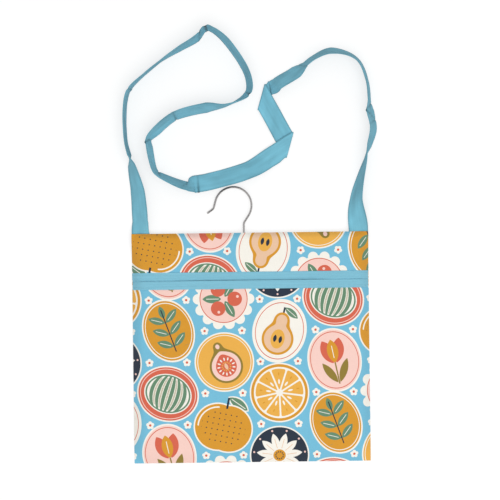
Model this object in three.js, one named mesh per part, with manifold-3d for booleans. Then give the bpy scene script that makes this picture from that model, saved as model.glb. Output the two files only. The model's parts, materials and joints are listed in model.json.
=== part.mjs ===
// A cotton peg bag lying on its back with its hanger inside and its shoulder strap laid out above it.
// Two front panels and a back panel are sewn round the edge. Tape binds the two lips of the mouth,
// and a wooden bar with a swivelling wire hook lies under the top seam.
import * as THREE from "three";
import { mergeVertices } from "three/addons/utils/BufferGeometryUtils.js";
import Module from "manifold-3d";

const wasm = await Module();
wasm.setup();

// Driving dimensions in millimetres and degrees. X runs across the bag, Y up to the hook and Z up from
// the surface that the bag lies on. The origin is the middle of the back panel's outer face.
const BAG_WIDTH = 342;
const BAG_HEIGHT = 332;
const CLOTH = 0.8;
const GAP = 0.3; // clearance between pieces that touch
const LIP_FALL = 23.2; // the yoke slopes down to the upper lip over this length
const MOUTH_GAP = 0.4; // between the two lips, seen from above
const YOKE_LIP_HEIGHT = 5; // upper lip, above the surface
const POUCH_LIP_HEIGHT = 15.5; // slack lower lip, standing proud of the upper one
const POUCH_DEPTH = 10.5; // front of the pouch above its bottom seam
const LIP_SLOPE = 110; // the pouch rises to its lip over this length
const SIDE_ROUND = 18; // cloth turning up from the side seams
const BOTTOM_ROUND = 26;
const TOP_ROUND = 9;
const CORNER_LIFT = 30; // side seams climb to the top seam over this length

const BINDING = 0.7; // tape thickness
const BINDING_WIDTH = 12;
const BINDING_INSET = 4; // each tape's end, caught in the side seam

const BAR_HEIGHT = 22;
const RECESS_WALL = 1.4; // wood left on each side of the washer's recess
const BAR_CORNER = 6;
const BAR_EDGE = 2.5; // rounded long edges
const BAR_END_ROOM = 2.5; // between the bar's ends and the round of the side seams
const HANGER_X = -8.5; // hook's place along the top seam
const HANGER_DROP = 14; // how far the loose bar can slide down in the bag

const WIRE = 3.2;
const RUNNING_GAP = 0.3; // hook in its bore, washer in its recess
const SEAM_HOLE_GAP = 0.6; // round the shank in the top seam
const HEAD_RIM = 0.6; // the upset head reaches past its bore
const HEAD_HEIGHT = 1.8;
const HEAD_RECESS = 1; // the head's face above the bar's lower edge
const WASHER_RIM = 0.8; // the washer reaches past the head
const WASHER_THICKNESS = 1;

const SHANK_RISE = 12.5; // straight shank above the top seam
const NECK_ANGLE = 33;
const NECK_FILLET = 6;
const NECK_LENGTH = 11.5;
const BOW_RADIUS = 26.6;
const BOW_ANGLE = 198;
const NOSE_LENGTH = 10.5;
const KICK_ANGLE = 40;
const KICK_FILLET = 3;
const TIP_LENGTH = 9;

const STRAP_WIDTH = 28;
const STRAP_THICKNESS = 2;
const TAIL_ROOM = 1; // between the strap's sewn ends and the bar
const SPREAD_RUN = 8; // cloth beside a sewn end, in which the seam closes again
const STRAP_FOLD_GAP = 0.6; // between the two layers at a fold
const FOLD_ANGLE = 74; // direction of both fold creases, from +X
const FOLD_TURN = 1.6; // points of the route in which the strap's cross lines turn to a crease
const CLIMB = [0.35, 0.65]; // share of the stretch between the folds where it climbs a layer

// Facets.
const ROD_SIDES = 20;
const WIRE_STEPS = 90;
const WIRE_QUARTER = 5; // facets in a quarter of the wire's section
const BEND_STEP = 6; // degrees
const FOLD_STEPS = 6;
const STRAP_STEPS = 2; // between two points of the strap's route

// The strap's route in three stretches, split at its two flat folds. Each point is the middle of the
// strap: x from the bag's middle, y above its top edge, the strap's lean and its lift off the surface.
// A lean of 0 or -180 lies flat and -90 stands on edge.
const FOLD_LIFT = STRAP_THICKNESS + STRAP_FOLD_GAP;
const STRAP_FROM_LEFT = [
  [-158, 19, -33, 0],
  [-161, 61, -40, 0],
  [-169, 99, -65, 0],
  [-172, 114, -97, 0],
  [-177, 137, -94, 0],
  [-176, 195, -95, 0],
  [-169, 211, -92, 0],
  [-127, 247, -85, 0],
  [-98, 266, -97, 0],
  [-73, 281, -103, 0],
  [-59, 296, -99, 0],
  [-50, 293, -98, 0],
  [-31, 277, -105, 0],
  [-1, 230, -106, 0],
  [2, 206, -110, 0],
  [-3, 198, -110, 0],
  [-33, 184, -89, 0],
  [-60, 181, -65, 0],
  [-106, 169, -69, 0],
  [-133, 148, -68, 0],
  [-144, 136, -77, 0],
  [-143, 125, -74, 0],
  [-136, 93, -77, 0],
  [-131, 87, -75, 0],
  [-90, 69, -60, 0],
  [-80, 71, -22, 0],
  [-61, 74, -25, 0],
  [0, 91, -24, 0],
  [33, 110, -3, FOLD_LIFT],
];
const LOWER_FOLD = [58, 126];
const UPPER_FOLD = [20.6, 195.7];
const STRAP_TO_RIGHT = [
  [37, 209.2, 0, 0],
  [47, 217.3, -45, 0],
  [70, 231, -46, 0],
  [83, 242, -73, 0],
  [95, 251, -72, 0],
  [122, 261, -65, 0],
  [158, 248, -76, 0],
  [172, 217, -79, 0],
  [175, 189, -78, 0],
  [176, 173, -62, 0],
  [180, 148, -65, 0],
  [174, 124, -74, 0],
  [169, 107, -91, 0],
  [154, 46, -126, 0],
];

// Sizes and places that follow from these.
const SIDE = BAG_WIDTH / 2;
const TOP = BAG_HEIGHT / 2;
const BORE_RADIUS = WIRE / 2 + RUNNING_GAP;
const HEAD_RADIUS = BORE_RADIUS + HEAD_RIM;
const WASHER_RADIUS = HEAD_RADIUS + WASHER_RIM;
const RECESS_RADIUS = WASHER_RADIUS + RUNNING_GAP;
const BAR_THICKNESS = 2 * (RECESS_RADIUS + RECESS_WALL);
const BAR_LENGTH = BAG_WIDTH - 2 * (SIDE_ROUND + BAR_END_ROOM + Math.abs(HANGER_X));

const BAR_TOP = TOP - TOP_ROUND;
const BAR_BOTTOM = BAR_TOP - BAR_HEIGHT;
const SHOULDER = BAR_BOTTOM - HANGER_DROP - GAP; // the yoke stays at full height down to here
const MOUTH = SHOULDER - LIP_FALL;
const UPPER_LIP = MOUTH + MOUTH_GAP / 2;
const LOWER_LIP = MOUTH - MOUTH_GAP / 2;

const BACK_LEVEL = CLOTH / 2; // middle of the back panel's cloth on the surface
const EDGE_LEVEL = BACK_LEVEL + CLOTH + GAP; // middle of a front panel's cloth at the seams
const BAR_LEVEL = CLOTH + GAP + BAR_THICKNESS / 2;
const YOKE_LEVEL = BAR_LEVEL + BAR_THICKNESS / 2 + GAP + CLOTH / 2;
const TOP_LIFT = BAR_LEVEL - (BACK_LEVEL + EDGE_LEVEL) / 2; // top seam lies level with the bar

// Levels in the recess under the bar, from the bar's top edge down.
const HEAD_BOTTOM = HEAD_RECESS - BAR_HEIGHT;
const HEAD_TOP = HEAD_BOTTOM + HEAD_HEIGHT;
const WASHER_BOTTOM = HEAD_TOP + GAP;
const WASHER_TOP = WASHER_BOTTOM + WASHER_THICKNESS;
const RECESS_TOP = WASHER_TOP + GAP;

const STRAP_X = SIDE - STRAP_WIDTH / 2;
const TAIL_END = BAR_TOP + TAIL_ROOM;
const STRAP_TAIL = TOP - TAIL_END; // sewn into the top seam
const STRAP_SPREAD = (STRAP_THICKNESS + GAP) / 2; // each panel gives way to the strap's sewn end

const { clamp, lerp, smoothstep, degToRad } = THREE.MathUtils;
const turnUp = (distance, round) => Math.sin((clamp(distance / round, 0, 1) * Math.PI) / 2);
const fromSide = (x) => turnUp(SIDE - Math.abs(x), SIDE_ROUND);

// How far the top seam is spread by a strap end at this point.
function strapSpread(x, y) {
  const across = smoothstep(Math.abs(x), SIDE - STRAP_WIDTH - SPREAD_RUN, SIDE - STRAP_WIDTH);
  return STRAP_SPREAD * across * smoothstep(y, TAIL_END - SPREAD_RUN, TAIL_END);
}

// Height of the side seams above where they lie on the surface.
const sideLift = (y) => TOP_LIFT * smoothstep(y, TAIL_END - CORNER_LIFT, TAIL_END);

// Middle of the back panel's cloth: flat, turned up along the top seam and at the two top corners.
function backHeight(x, y) {
  const middle = TOP_LIFT * (1 - turnUp(TOP - y, TOP_ROUND));
  const lift = lerp(sideLift(y), middle, fromSide(x));
  return BACK_LEVEL + lift * (1 - strapSpread(x, y) / TOP_LIFT);
}

// Middle of the yoke's cloth: over the bar, down to the top seam and down to the upper lip.
function yokeHeight(x, y) {
  const seam = EDGE_LEVEL + TOP_LIFT;
  const overBar = lerp(YOKE_LIP_HEIGHT, YOKE_LEVEL, smoothstep(y, MOUTH, SHOULDER));
  const middle = lerp(seam, overBar, turnUp(TOP - y, TOP_ROUND));
  return lerp(EDGE_LEVEL + sideLift(y), middle, fromSide(x)) + strapSpread(x, y);
}

// Middle of the pouch front's cloth: a slack pillow that rises to the lower lip.
function pouchHeight(x, y) {
  const middle = lerp(POUCH_DEPTH, POUCH_LIP_HEIGHT, smoothstep(y, MOUTH - LIP_SLOPE, MOUTH));
  return lerp(EDGE_LEVEL, middle, fromSide(x) * turnUp(TOP + y, BOTTOM_ROUND));
}

// Evenly divided stations between each two breaks, counts[i] of them from breaks[i].
function stations(breaks, counts) {
  const steps = counts.flatMap((count, i) =>
    Array.from({ length: count }, (_, k) => lerp(breaks[i], breaks[i + 1], k / count)),
  );
  return [...steps, breaks.at(-1)];
}

// A closed solid through rings of points. Each ring runs along one face and back along the other, and both
// faces are split along the same diagonals, so that they stay apart where the solid twists.
function loft(rings) {
  const count = rings[0].length;
  const index = [];
  const quad = (a, b, c, d) => index.push(a, b, c, a, c, d);
  for (let i = 0; i + 1 < rings.length; i++) {
    for (let k = 0; k < count; k++) {
      const here = i * count + k;
      const beside = i * count + ((k + 1) % count);
      if (k < count / 2) quad(here, here + count, beside + count, beside);
      else quad(beside, here, here + count, beside + count);
    }
  }
  const last = (rings.length - 1) * count;
  for (let k = 0; k + 1 < count / 2; k++) {
    quad(k, k + 1, count - 2 - k, count - 1 - k);
    quad(last + k, last + count - 1 - k, last + count - 2 - k, last + k + 1);
  }
  const positions = rings.flat().flatMap((point) => point.toArray());
  return new THREE.BufferGeometry()
    .setAttribute("position", new THREE.Float32BufferAttribute(positions, 3))
    .setIndex(index);
}

// A sheet of cloth over the stations, its middle at height(x, y).
function clothPanel(xs, ys, height) {
  const face = (x, offset) => ys.map((y) => new THREE.Vector3(x, y, height(x, y) + offset));
  return loft(xs.map((x) => [...face(x, CLOTH / 2), ...face(x, -CLOTH / 2).reverse()]));
}

// Stations down a panel from its bound edge, as distances from the lip.
const boundStations = () => stations([BINDING + GAP, BINDING_WIDTH], [4]);

// Tape folded over a panel's edge at lip, on the side given by inward, 1 up or -1 down the bag.
function bindingTape(xs, lip, inward, height) {
  const inside = CLOTH / 2 + GAP;
  const legs = boundStations().slice(2).reverse();
  const fold = [90, 45, 0, -45, -90].map(degToRad);
  const section = (reach, bottom) => [
    ...legs.map((y) => [y, reach]),
    ...fold.map((a) => [bottom + reach * (1 - Math.cos(a)), reach * Math.sin(a)]),
    ...legs.toReversed().map((y) => [y, -reach]),
  ];
  const ring = [...section(inside + BINDING, 0), ...section(inside, BINDING).reverse()];
  const profile = inward > 0 ? ring.reverse() : ring;
  const at = (x, [y, z]) => new THREE.Vector3(x, lip + inward * y, height(x, lip + inward * y) + z);
  return loft(xs.map((x) => profile.map((point) => at(x, point))));
}

const solidOf = (geometry) => {
  const bare = geometry.index ? geometry.clone() : geometry;
  bare.deleteAttribute("normal");
  bare.deleteAttribute("uv");
  const merged = mergeVertices(bare);
  const vertProperties = merged.attributes.position.array;
  return new wasm.Manifold(
    new wasm.Mesh({ numProp: 3, vertProperties, triVerts: new Uint32Array(merged.index.array) }),
  );
};

function geometryOf(solid) {
  const { vertProperties, triVerts } = solid.getMesh();
  return new THREE.BufferGeometry()
    .setAttribute("position", new THREE.BufferAttribute(vertProperties, 3))
    .setIndex(new THREE.BufferAttribute(triVerts, 1));
}

const cut = (geometry, ...tools) =>
  geometryOf(tools.reduce((left, tool) => left.subtract(solidOf(tool)), solidOf(geometry)));
const join = (geometry, ...others) =>
  geometryOf(others.reduce((sum, other) => sum.add(solidOf(other)), solidOf(geometry)));

// A cylinder along Y between two levels.
function rodAlongY(radius, from, to) {
  const rod = new THREE.CylinderGeometry(radius, radius, to - from, ROD_SIDES);
  return rod.translate(0, (from + to) / 2, 0);
}

// The hole that the shank needs in a panel at the top seam.
function seamHole() {
  const radius = WIRE / 2 + SEAM_HOLE_GAP;
  return rodAlongY(radius, BAR_TOP, TOP + TOP_ROUND).translate(HANGER_X, 0, BAR_LEVEL);
}

const sideBreaks = [-SIDE, BINDING_INSET - SIDE, SIDE_ROUND - SIDE, STRAP_WIDTH + SPREAD_RUN - SIDE];
const acrossBreaks = [...sideBreaks, ...sideBreaks.map((x) => -x).reverse()];
const acrossBag = stations(acrossBreaks, [1, 4, 3, 7, 3, 4, 1]);
const alongLip = acrossBag.slice(1, -1);

function backPanel() {
  const lowered = [-TOP, TAIL_END - CORNER_LIFT, TAIL_END, TOP];
  return cut(clothPanel(acrossBag, stations(lowered, [5, 4, 4]), backHeight), seamHole());
}

function yokePanel() {
  const bound = boundStations().map((y) => UPPER_LIP + y);
  const above = stations([bound.at(-1), SHOULDER, BAR_TOP, TOP], [3, 4, 5]);
  return cut(clothPanel(acrossBag, [...bound, ...above.slice(1)], yokeHeight), seamHole());
}

function pouchFront() {
  const bound = boundStations().map((y) => LOWER_LIP - y);
  const below = stations([-TOP, BOTTOM_ROUND - TOP, MOUTH - LIP_SLOPE, bound.at(-1)], [6, 3, 7]);
  return clothPanel(acrossBag, [...below.slice(0, -1), ...bound.reverse()], pouchHeight);
}

// Heading of the strap between its folds, and half the length of a fold's crease.
const FOLD_HEADING = Math.atan2(UPPER_FOLD[1] - LOWER_FOLD[1], UPPER_FOLD[0] - LOWER_FOLD[0]);
const HALF_CREASE = STRAP_WIDTH / 2 / Math.abs(Math.sin(degToRad(FOLD_ANGLE) - FOLD_HEADING));

// One cross line of the strap: its middle and the way from there to its first edge. None is longer than
// a crease, so that both layers of a fold end at the same corners.
function crossLine(middle, heading, side, lean) {
  const half = Math.min(STRAP_WIDTH / 2 / Math.abs(Math.sin(side - heading)), HALF_CREASE);
  const flat = Math.cos(lean);
  const across = new THREE.Vector3(Math.cos(side) * flat, Math.sin(side) * flat, Math.sin(lean));
  return { middle, across: across.multiplyScalar(half) };
}

// Height of the strap's middle when its lower edge lies on what is below it.
function restHeight(lean, lift) {
  const edge = (STRAP_WIDTH * Math.abs(Math.sin(lean)) + STRAP_THICKNESS * Math.abs(Math.cos(lean))) / 2;
  return GAP / 2 + edge + lift;
}

// Cross lines along a curved stretch. Towards a fold they turn to lie along its crease.
function curvedStretch(points, foldIndex) {
  const curve = new THREE.CatmullRomCurve3(points.map(([x, y]) => new THREE.Vector3(x, TOP + y, 0)));
  const spans = points.length - 1;
  return Array.from({ length: spans * STRAP_STEPS + 1 }, (_, i) => {
    const place = i / STRAP_STEPS;
    const before = points[Math.floor(place)];
    const after = points[Math.ceil(place)];
    const between = (column) => lerp(before[column], after[column], place % 1);
    const lean = degToRad(between(2));
    const middle = curve.getPoint(place / spans).setZ(restHeight(lean, between(3)));
    const along = curve.getTangent(place / spans);
    const heading = Math.atan2(along.y, along.x);
    const fromFold = smoothstep(Math.abs(place - foldIndex), 0, FOLD_TURN);
    const side = lerp(degToRad(FOLD_ANGLE), heading + Math.PI / 2, fromFold);
    return crossLine(middle, heading, side, lean);
  });
}

// Cross lines round a flat fold, from the upper layer to the lower one.
function foldTurn([x, y], outward) {
  const radius = FOLD_LIFT / 2;
  const level = restHeight(0, 0) + radius;
  return Array.from({ length: FOLD_STEPS - 1 }, (_, i) => {
    const turn = (Math.PI * (i + 1)) / FOLD_STEPS;
    const reach = radius * Math.sin(turn);
    const middle = new THREE.Vector3(
      x + reach * Math.cos(outward),
      TOP + y + reach * Math.sin(outward),
      level + radius * Math.cos(turn),
    );
    return crossLine(middle, FOLD_HEADING, degToRad(FOLD_ANGLE), 0);
  });
}

// Cross lines of the straight stretch between the folds, climbing from the lower layer to the upper.
function straightStretch() {
  return [0, CLIMB[0], lerp(...CLIMB, 0.5), CLIMB[1], 1].map((share) => {
    const level = restHeight(0, FOLD_LIFT * smoothstep(share, ...CLIMB));
    const [x, y] = [0, 1].map((axis) => lerp(LOWER_FOLD[axis], UPPER_FOLD[axis], share));
    return crossLine(new THREE.Vector3(x, TOP + y, level), FOLD_HEADING, degToRad(FOLD_ANGLE), 0);
  });
}

function shoulderStrap() {
  const crease = degToRad(FOLD_ANGLE);
  const seamLift = BAR_LEVEL - restHeight(0, 0);
  const sewnEnd = (x, lean) => [-STRAP_TAIL, STRAP_TAIL / 2].map((y) => [x, y, lean, seamLift]);
  const fromLeft = [...sewnEnd(-STRAP_X, 0), ...STRAP_FROM_LEFT, [...LOWER_FOLD, 0, FOLD_LIFT]];
  const toRight = [[...UPPER_FOLD, 0, 0], ...STRAP_TO_RIGHT, ...sewnEnd(STRAP_X, -180).reverse()];
  const lines = [
    ...curvedStretch(fromLeft, fromLeft.length - 1),
    ...foldTurn(LOWER_FOLD, crease - Math.PI / 2),
    ...straightStretch(),
    ...foldTurn(UPPER_FOLD, crease + Math.PI / 2),
    ...curvedStretch(toRight, 0),
  ];
  const rings = lines.map(({ middle, across }, i) => {
    const before = lines[Math.max(i - 1, 0)].middle;
    const after = lines[Math.min(i + 1, lines.length - 1)].middle;
    const normal = new THREE.Vector3().subVectors(after, before).cross(across);
    normal.setLength(STRAP_THICKNESS / 2);
    const corner = (side, face) =>
      middle.clone().addScaledVector(across, side).addScaledVector(normal, face);
    return [corner(-1, 1), corner(1, 1), corner(1, -1), corner(-1, -1)];
  });
  return loft(rings);
}

// The bar's own frame: X along it from the hook's bore, Y up to its top edge, Z through its thickness.
function hangerBar() {
  const [right, corner] = [BAR_LENGTH / 2, BAR_CORNER];
  const outline = new THREE.Shape()
    .moveTo(corner - right, -BAR_HEIGHT)
    .lineTo(right - corner, -BAR_HEIGHT)
    .absarc(right - corner, corner - BAR_HEIGHT, corner, -Math.PI / 2, 0)
    .absarc(right - corner, -corner, corner, 0, Math.PI / 2)
    .lineTo(corner - right, 0)
    .absarc(corner - right, -corner, corner, Math.PI / 2, Math.PI)
    .absarc(corner - right, corner - BAR_HEIGHT, corner, Math.PI, Math.PI * 1.5);
  const lath = new THREE.ExtrudeGeometry(outline, {
    depth: BAR_THICKNESS - 2 * BAR_EDGE,
    bevelSize: BAR_EDGE,
    bevelOffset: -BAR_EDGE,
    bevelThickness: BAR_EDGE,
    bevelSegments: 3,
    curveSegments: 5,
  }).translate(0, 0, BAR_EDGE - BAR_THICKNESS / 2);
  const bore = rodAlongY(BORE_RADIUS, -2 * BAR_HEIGHT, BAR_HEIGHT);
  const recess = rodAlongY(RECESS_RADIUS, -2 * BAR_HEIGHT, RECESS_TOP);
  return cut(lath, bore, recess);
}

function hookWasher() {
  const [inner, outer] = [BORE_RADIUS, WASHER_RADIUS];
  const [low, high] = [WASHER_BOTTOM, WASHER_TOP];
  const section = [[inner, low], [outer, low], [outer, high], [inner, high], [inner, low]];
  return new THREE.LatheGeometry(section.map(([r, y]) => new THREE.Vector2(r, y)), ROD_SIDES);
}

// The bent wire as runs and bends in turn, in the plane Z = 0 and starting up the shank.
function hookWire() {
  const path = new THREE.CurvePath();
  const end = new THREE.Vector3(0, HEAD_BOTTOM + HEAD_HEIGHT / 2, 0);
  let heading = Math.PI / 2;
  const run = (length) => {
    const start = end.clone();
    end.add(new THREE.Vector3(Math.cos(heading), Math.sin(heading), 0).multiplyScalar(length));
    path.add(new THREE.LineCurve3(start, end.clone()));
  };
  const bend = (degrees, radius) => {
    const turn = degToRad(degrees);
    const steps = Math.ceil(Math.abs(degrees) / BEND_STEP);
    for (let i = 0; i < steps; i++) {
      heading += turn / steps / 2;
      run(2 * radius * Math.sin(Math.abs(turn) / steps / 2));
      heading += turn / steps / 2;
    }
  };
  run(TOP + SHANK_RISE - BAR_TOP - end.y);
  bend(-NECK_ANGLE, NECK_FILLET);
  run(NECK_LENGTH);
  bend(BOW_ANGLE, BOW_RADIUS);
  run(NOSE_LENGTH);
  bend(-KICK_ANGLE, KICK_FILLET);
  run(TIP_LENGTH);
  return { path, tip: end };
}

function hook({ path, tip }) {
  const section = new THREE.Shape().absarc(0, 0, WIRE / 2, 0, 2 * Math.PI);
  const wire = new THREE.ExtrudeGeometry(section, {
    steps: WIRE_STEPS,
    curveSegments: WIRE_QUARTER,
    extrudePath: path,
  });
  const head = rodAlongY(HEAD_RADIUS, HEAD_BOTTOM, HEAD_TOP);
  const roundTip = new THREE.SphereGeometry(WIRE / 2, 2 * WIRE_QUARTER, 8).translate(tip.x, tip.y, tip.z);
  return join(wire, head, roundTip);
}

const finish = (color, roughness, metalness = 0) =>
  new THREE.MeshStandardMaterial({ color, roughness, metalness });
const PRINTED_COTTON = finish("#72b9d6", 0.9);
const PLAIN_COTTON = finish("#78bbd0", 0.88);
const BEECH = finish("#d8b385", 0.6);
const STEEL = finish("#b9b7b6", 0.32, 1);

function part(name, geometry, material) {
  const mesh = new THREE.Mesh(geometry, material);
  mesh.name = name;
  return mesh;
}

const bag = new THREE.Group().add(
  part("back_panel", backPanel(), PRINTED_COTTON),
  part("front_yoke", yokePanel(), PRINTED_COTTON),
  part("pouch_front", pouchFront(), PRINTED_COTTON),
  part("upper_lip_binding", bindingTape(alongLip, UPPER_LIP, 1, yokeHeight), PLAIN_COTTON),
  part("lower_lip_binding", bindingTape(alongLip, LOWER_LIP, -1, pouchHeight), PLAIN_COTTON),
  part("shoulder_strap", shoulderStrap(), PLAIN_COTTON),
);

const wire = hookWire();
const wireHook = part("hook", hook(wire), STEEL);
// The hook lies tilted, with its tip on the surface.
wireHook.rotation.y = -Math.asin((BAR_LEVEL - WIRE / 2) / Math.abs(wire.tip.x));

const hanger = new THREE.Group().add(
  part("hanger_bar", hangerBar(), BEECH),
  part("hook_washer", hookWasher(), STEEL),
  wireHook,
);
hanger.position.set(HANGER_X, BAR_TOP, BAR_LEVEL);

export default new THREE.Group().add(bag, hanger);
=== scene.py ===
"""A cotton peg bag lying on its back, with a wire hook on a loose bar and its strap laid out above it.

Metres and degrees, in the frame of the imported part: X across the bag, Y up to the hook, Z up from the floor.
"""
import json
import math

import bpy
import numpy as np
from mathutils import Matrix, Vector, noise


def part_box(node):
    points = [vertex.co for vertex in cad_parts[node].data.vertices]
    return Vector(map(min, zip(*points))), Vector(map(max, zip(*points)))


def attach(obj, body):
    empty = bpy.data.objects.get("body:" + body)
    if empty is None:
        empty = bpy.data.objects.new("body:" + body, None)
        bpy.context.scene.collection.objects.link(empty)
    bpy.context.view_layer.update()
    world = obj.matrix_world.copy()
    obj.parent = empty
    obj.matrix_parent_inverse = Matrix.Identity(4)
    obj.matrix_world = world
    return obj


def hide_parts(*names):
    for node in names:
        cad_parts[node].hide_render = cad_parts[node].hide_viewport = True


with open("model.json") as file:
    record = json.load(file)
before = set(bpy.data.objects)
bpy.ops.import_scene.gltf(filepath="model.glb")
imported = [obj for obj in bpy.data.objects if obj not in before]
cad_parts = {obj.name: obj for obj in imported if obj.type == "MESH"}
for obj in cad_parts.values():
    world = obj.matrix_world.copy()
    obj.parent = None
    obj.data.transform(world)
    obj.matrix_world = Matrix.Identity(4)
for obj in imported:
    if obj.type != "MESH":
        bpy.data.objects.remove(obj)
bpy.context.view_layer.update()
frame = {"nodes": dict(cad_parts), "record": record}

# The picture: straight down on the bag, which lies a little turned.
VIEW_WIDTH = 0.725
VIEW_MIDDLE_Y = 0.1411
VIEW_TURN = 0.73
LENS = 100
SENSOR = 36

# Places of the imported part.
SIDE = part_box("back_panel")[1].x
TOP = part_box("back_panel")[1].y
UPPER_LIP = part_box("upper_lip_binding")[0].y
LOWER_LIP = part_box("lower_lip_binding")[1].y
MOUTH = (UPPER_LIP + LOWER_LIP) / 2
BAR_LOW, BAR_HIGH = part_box("hanger_bar")
BAR_LEVEL = (BAR_LOW.z + BAR_HIGH.z) / 2
BAR_TOP = BAR_HIGH.y
JOINTS = {joint["name"]: joint for joint in frame["record"]["behaviour"]["joints"]}
HOOK_X = JOINTS["hook_swivel"]["pos_m"][0]

# The bag's cloth.
CLOTH = 0.0006
CLOTH_STEP = 0.0024  # size of a panel's faces
BACK_LEVEL = 0.0004  # middle of the back panel's cloth
EDGE_LEVEL = 0.0015  # middle of a front panel's cloth at the seams
YOKE_LEVEL = 0.0118
YOKE_LIP_LEVEL = (0.0095, 0.0103)  # at the mouth's middle and towards its ends, where the lips lie together
POUCH_LEVEL = 0.0105
POUCH_LIP_LEVEL = (0.012, 0.0113)
MOUTH_SHUT = (0.085, 0.125)  # distances from the bag's middle between which the lips come together
LIP_SLOPE = 0.11  # the pouch rises to its lip over this length
LIP_FALL = 0.0232  # the yoke falls to its lip over this length
SIDE_ROUND = 0.018  # a front panel turns up from its side seams in this radius
BOTTOM_ROUND = 0.026
TOP_ROUND = TOP - BAR_TOP
CORNER_LIFT = 0.03  # the side seams climb to the top seam over this length
TOP_LIFT = BAR_LEVEL - (BACK_LEVEL + EDGE_LEVEL) / 2
TAIL_GAP = 0.001  # between the bar and the strap's sewn tails
TAIL_END = BAR_TOP + TAIL_GAP
SPREAD_RUN = 0.008  # the panels part for a tail over this length
SHANK_GAPE = 0.0022  # the top seam parts round the hook's shank
SHANK_GAPE_X = 0.0045
SHANK_GAPE_Y = 0.006
LIP_CUT = 0.001  # from a lip to its panel's cut edge inside the tape
PANEL_SMOOTH = 40  # degrees up to which an edge is shaded smooth

# Where each panel is cut from the printed cloth: the place of the bag's middle, and the way it runs, 1 or -1.
BACK_CUT = ((0.62, -1), (0.37, 1))
YOKE_CUT = ((0.5, -1), (0.5, -1))
POUCH_CUT = ((0.2, 1), (0.2, 1))

# Soft waves of the panels: height, size and seed.
YOKE_WAVE = (0.0006, 0.035, 2.0)
YOKE_WAVE_START = 0.02  # full at this distance below the top seam
POUCH_SAG = (0.0011, 0.075, 5.0)
POUCH_WAVE = (0.0005, 0.024, 6.0)
POUCH_WAVE_STRETCH = 1.7  # longer up the pouch than across it

# Ripples that a side seam draws into the cloth beside it.
PUCKER = 0.0012
PUCKER_LENGTH = 0.0075
PUCKER_FADE = 0.009  # length in which they die away
PUCKER_START = 0.003  # they begin this far from the seam
PUCKER_ROW = 0.3  # sets the two seams apart in the noise
YOKE_PUCKER_SEED = 3.0
POUCH_PUCKER_SEED = 7.0

# The tape over the two lips of the mouth.
TAPE = 0.0006
TAPE_WIDTH = 0.012
TAPE_STEP = 0.0015  # size of its faces along the mouth
TAPE_ROWS = 13  # points across each leg
TAPE_TURN_ROWS = 9  # points round the lip
TAPE_SMOOTH = 50
TAPE_INSET = 0.0006  # each end, short of the bag's side
TAPE_GAP = 0.00005
TAPE_REACH = CLOTH / 2 + TAPE / 2 + TAPE_GAP  # between the middles of cloth and tape
TURN_UNDER = 0.00022  # rise over the tape's turned-under edge
TURN_UNDER_RUN = (TAPE_WIDTH - 0.005, TAPE_WIDTH - 0.004)  # over which its step rises
TAPE_PUCKER = (0.0003, 0.006)  # height and size
TAPE_PUCKER_STRETCH = 2  # shorter across the tape than along it
TAPE_WAVE = (0.00025, 0.028)
TAPE_WAVE_SEED = 3
LIP_SEED = 100  # times the lip's place
LIP_TIGHT = 0.004  # the tape lies close this far from its lip
STITCH_PITCH = 0.0029
STITCH_SIZE = (0.0023, 0.00055, 0.00045)
STITCH_INSET = 0.0017  # from the tape's edge
STITCH_GROOVE = 0.00028
STITCH_GROOVE_WIDTH = 0.0009
TACK_INSET = 0.0075  # stitches across the mouth's ends, from the bag's side

# The strap.
STRAP_WIDTH = 0.028
STRAP_THICKNESS = 0.0021
STRAP_SOLID = 0.002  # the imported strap's thickness, which sets its height
STRAP_X = SIDE - STRAP_WIDTH / 2
STRAP_TAIL = TOP - TAIL_END
GAP = 0.0003  # room round the strap
FOLD_GAP = 0.0006
FOLD_LIFT = STRAP_SOLID + FOLD_GAP  # between the two layers at a fold
FOLD_ANGLE = 74  # the way of both creases
FOLD_TURN = 2.2  # points of the route in which the cross lines turn to a crease
CLIMB = (0.35, 0.65)  # shares of the way between the folds in which the strap climbs one layer
STRAP_STEPS = 24  # between two points of the route
FOLD_STEPS = 8
SECTION_POINTS = 28
SECTION_POWER = 0.5  # below 1 it squares the section
SECTION_MIDDLE = 0.78  # thickness between the rolled edges, as a share
EDGE_ROLL = 3  # the higher, the narrower the rolls

# The strap's route in two stretches, split by its two flat folds. Each point is the middle of the strap:
# x from the bag's middle, y above its top edge, the strap's lean in degrees and its lift off the floor.
STRAP_FROM_LEFT = [
    (-0.158, 0.019, -33, 0),
    (-0.161, 0.061, -40, 0),
    (-0.169, 0.099, -65, 0),
    (-0.172, 0.114, -97, 0),
    (-0.177, 0.137, -94, 0),
    (-0.176, 0.195, -95, 0),
    (-0.169, 0.211, -92, 0),
    (-0.127, 0.247, -85, 0),
    (-0.098, 0.266, -97, 0),
    (-0.073, 0.281, -103, 0),
    (-0.059, 0.296, -99, 0),
    (-0.050, 0.293, -98, 0),
    (-0.031, 0.277, -105, 0),
    (-0.001, 0.230, -106, 0),
    (0.002, 0.206, -110, 0),
    (-0.003, 0.198, -110, 0),
    (-0.033, 0.184, -89, 0),
    (-0.060, 0.181, -65, 0),
    (-0.106, 0.169, -69, 0),
    (-0.133, 0.148, -68, 0),
    (-0.144, 0.136, -77, 0),
    (-0.143, 0.125, -74, 0),
    (-0.136, 0.093, -77, 0),
    (-0.131, 0.087, -75, 0),
    (-0.090, 0.069, -60, 0),
    (-0.080, 0.071, -22, 0),
    (-0.061, 0.074, -25, 0),
    (0.000, 0.091, -24, 0),
    (0.033, 0.110, -3, FOLD_LIFT),
]
LOWER_FOLD = (0.058, 0.126)
UPPER_FOLD = (0.0206, 0.1957)
FOLD_HEADING = math.atan2(UPPER_FOLD[1] - LOWER_FOLD[1], UPPER_FOLD[0] - LOWER_FOLD[0])
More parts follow.
